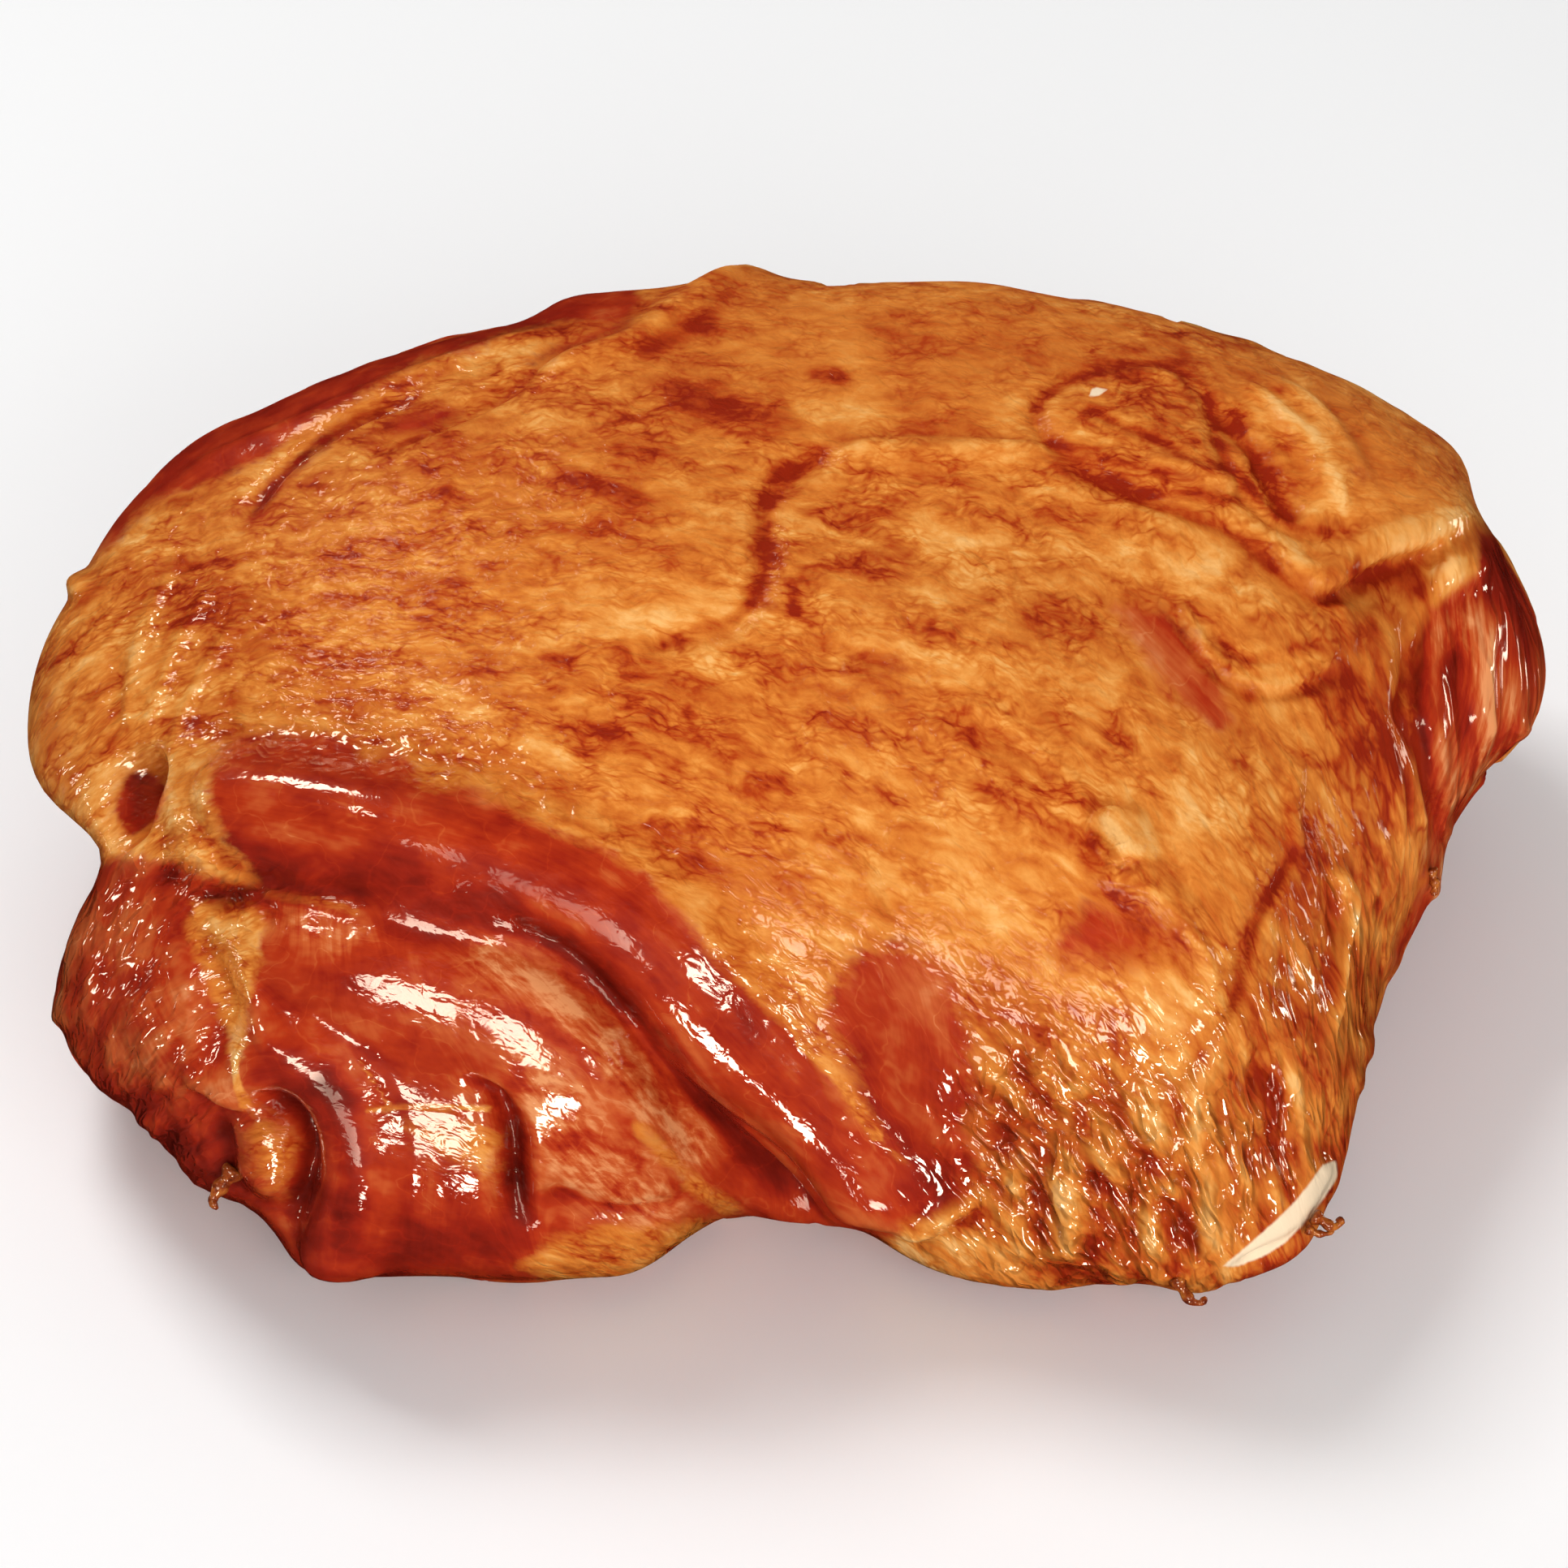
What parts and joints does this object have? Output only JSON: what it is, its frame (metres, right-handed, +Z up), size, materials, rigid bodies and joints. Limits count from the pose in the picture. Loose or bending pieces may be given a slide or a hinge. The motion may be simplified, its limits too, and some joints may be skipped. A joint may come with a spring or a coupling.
{
  "type": "smoked ham",
  "caption": "Whole skinned smoked ham lying on its flat underside, with a golden fat cap, a thick roll of lean meat and deep folds in front.",
  "frame": {"origin": "middle of the ham's footprint box, on the surface that it lies on", "axes": "+X along the ham's length to the picture's right, +Y to its back, +Z up"},
  "size_m": [0.3466, 0.2608, 0.1461],
  "materials": {
    "ham": "moist, glossy smoked fat and lean meat, golden orange to dark red"
  },
  "bodies": {
    "root": {"ham": "ham"}
  },
  "joints": []
}
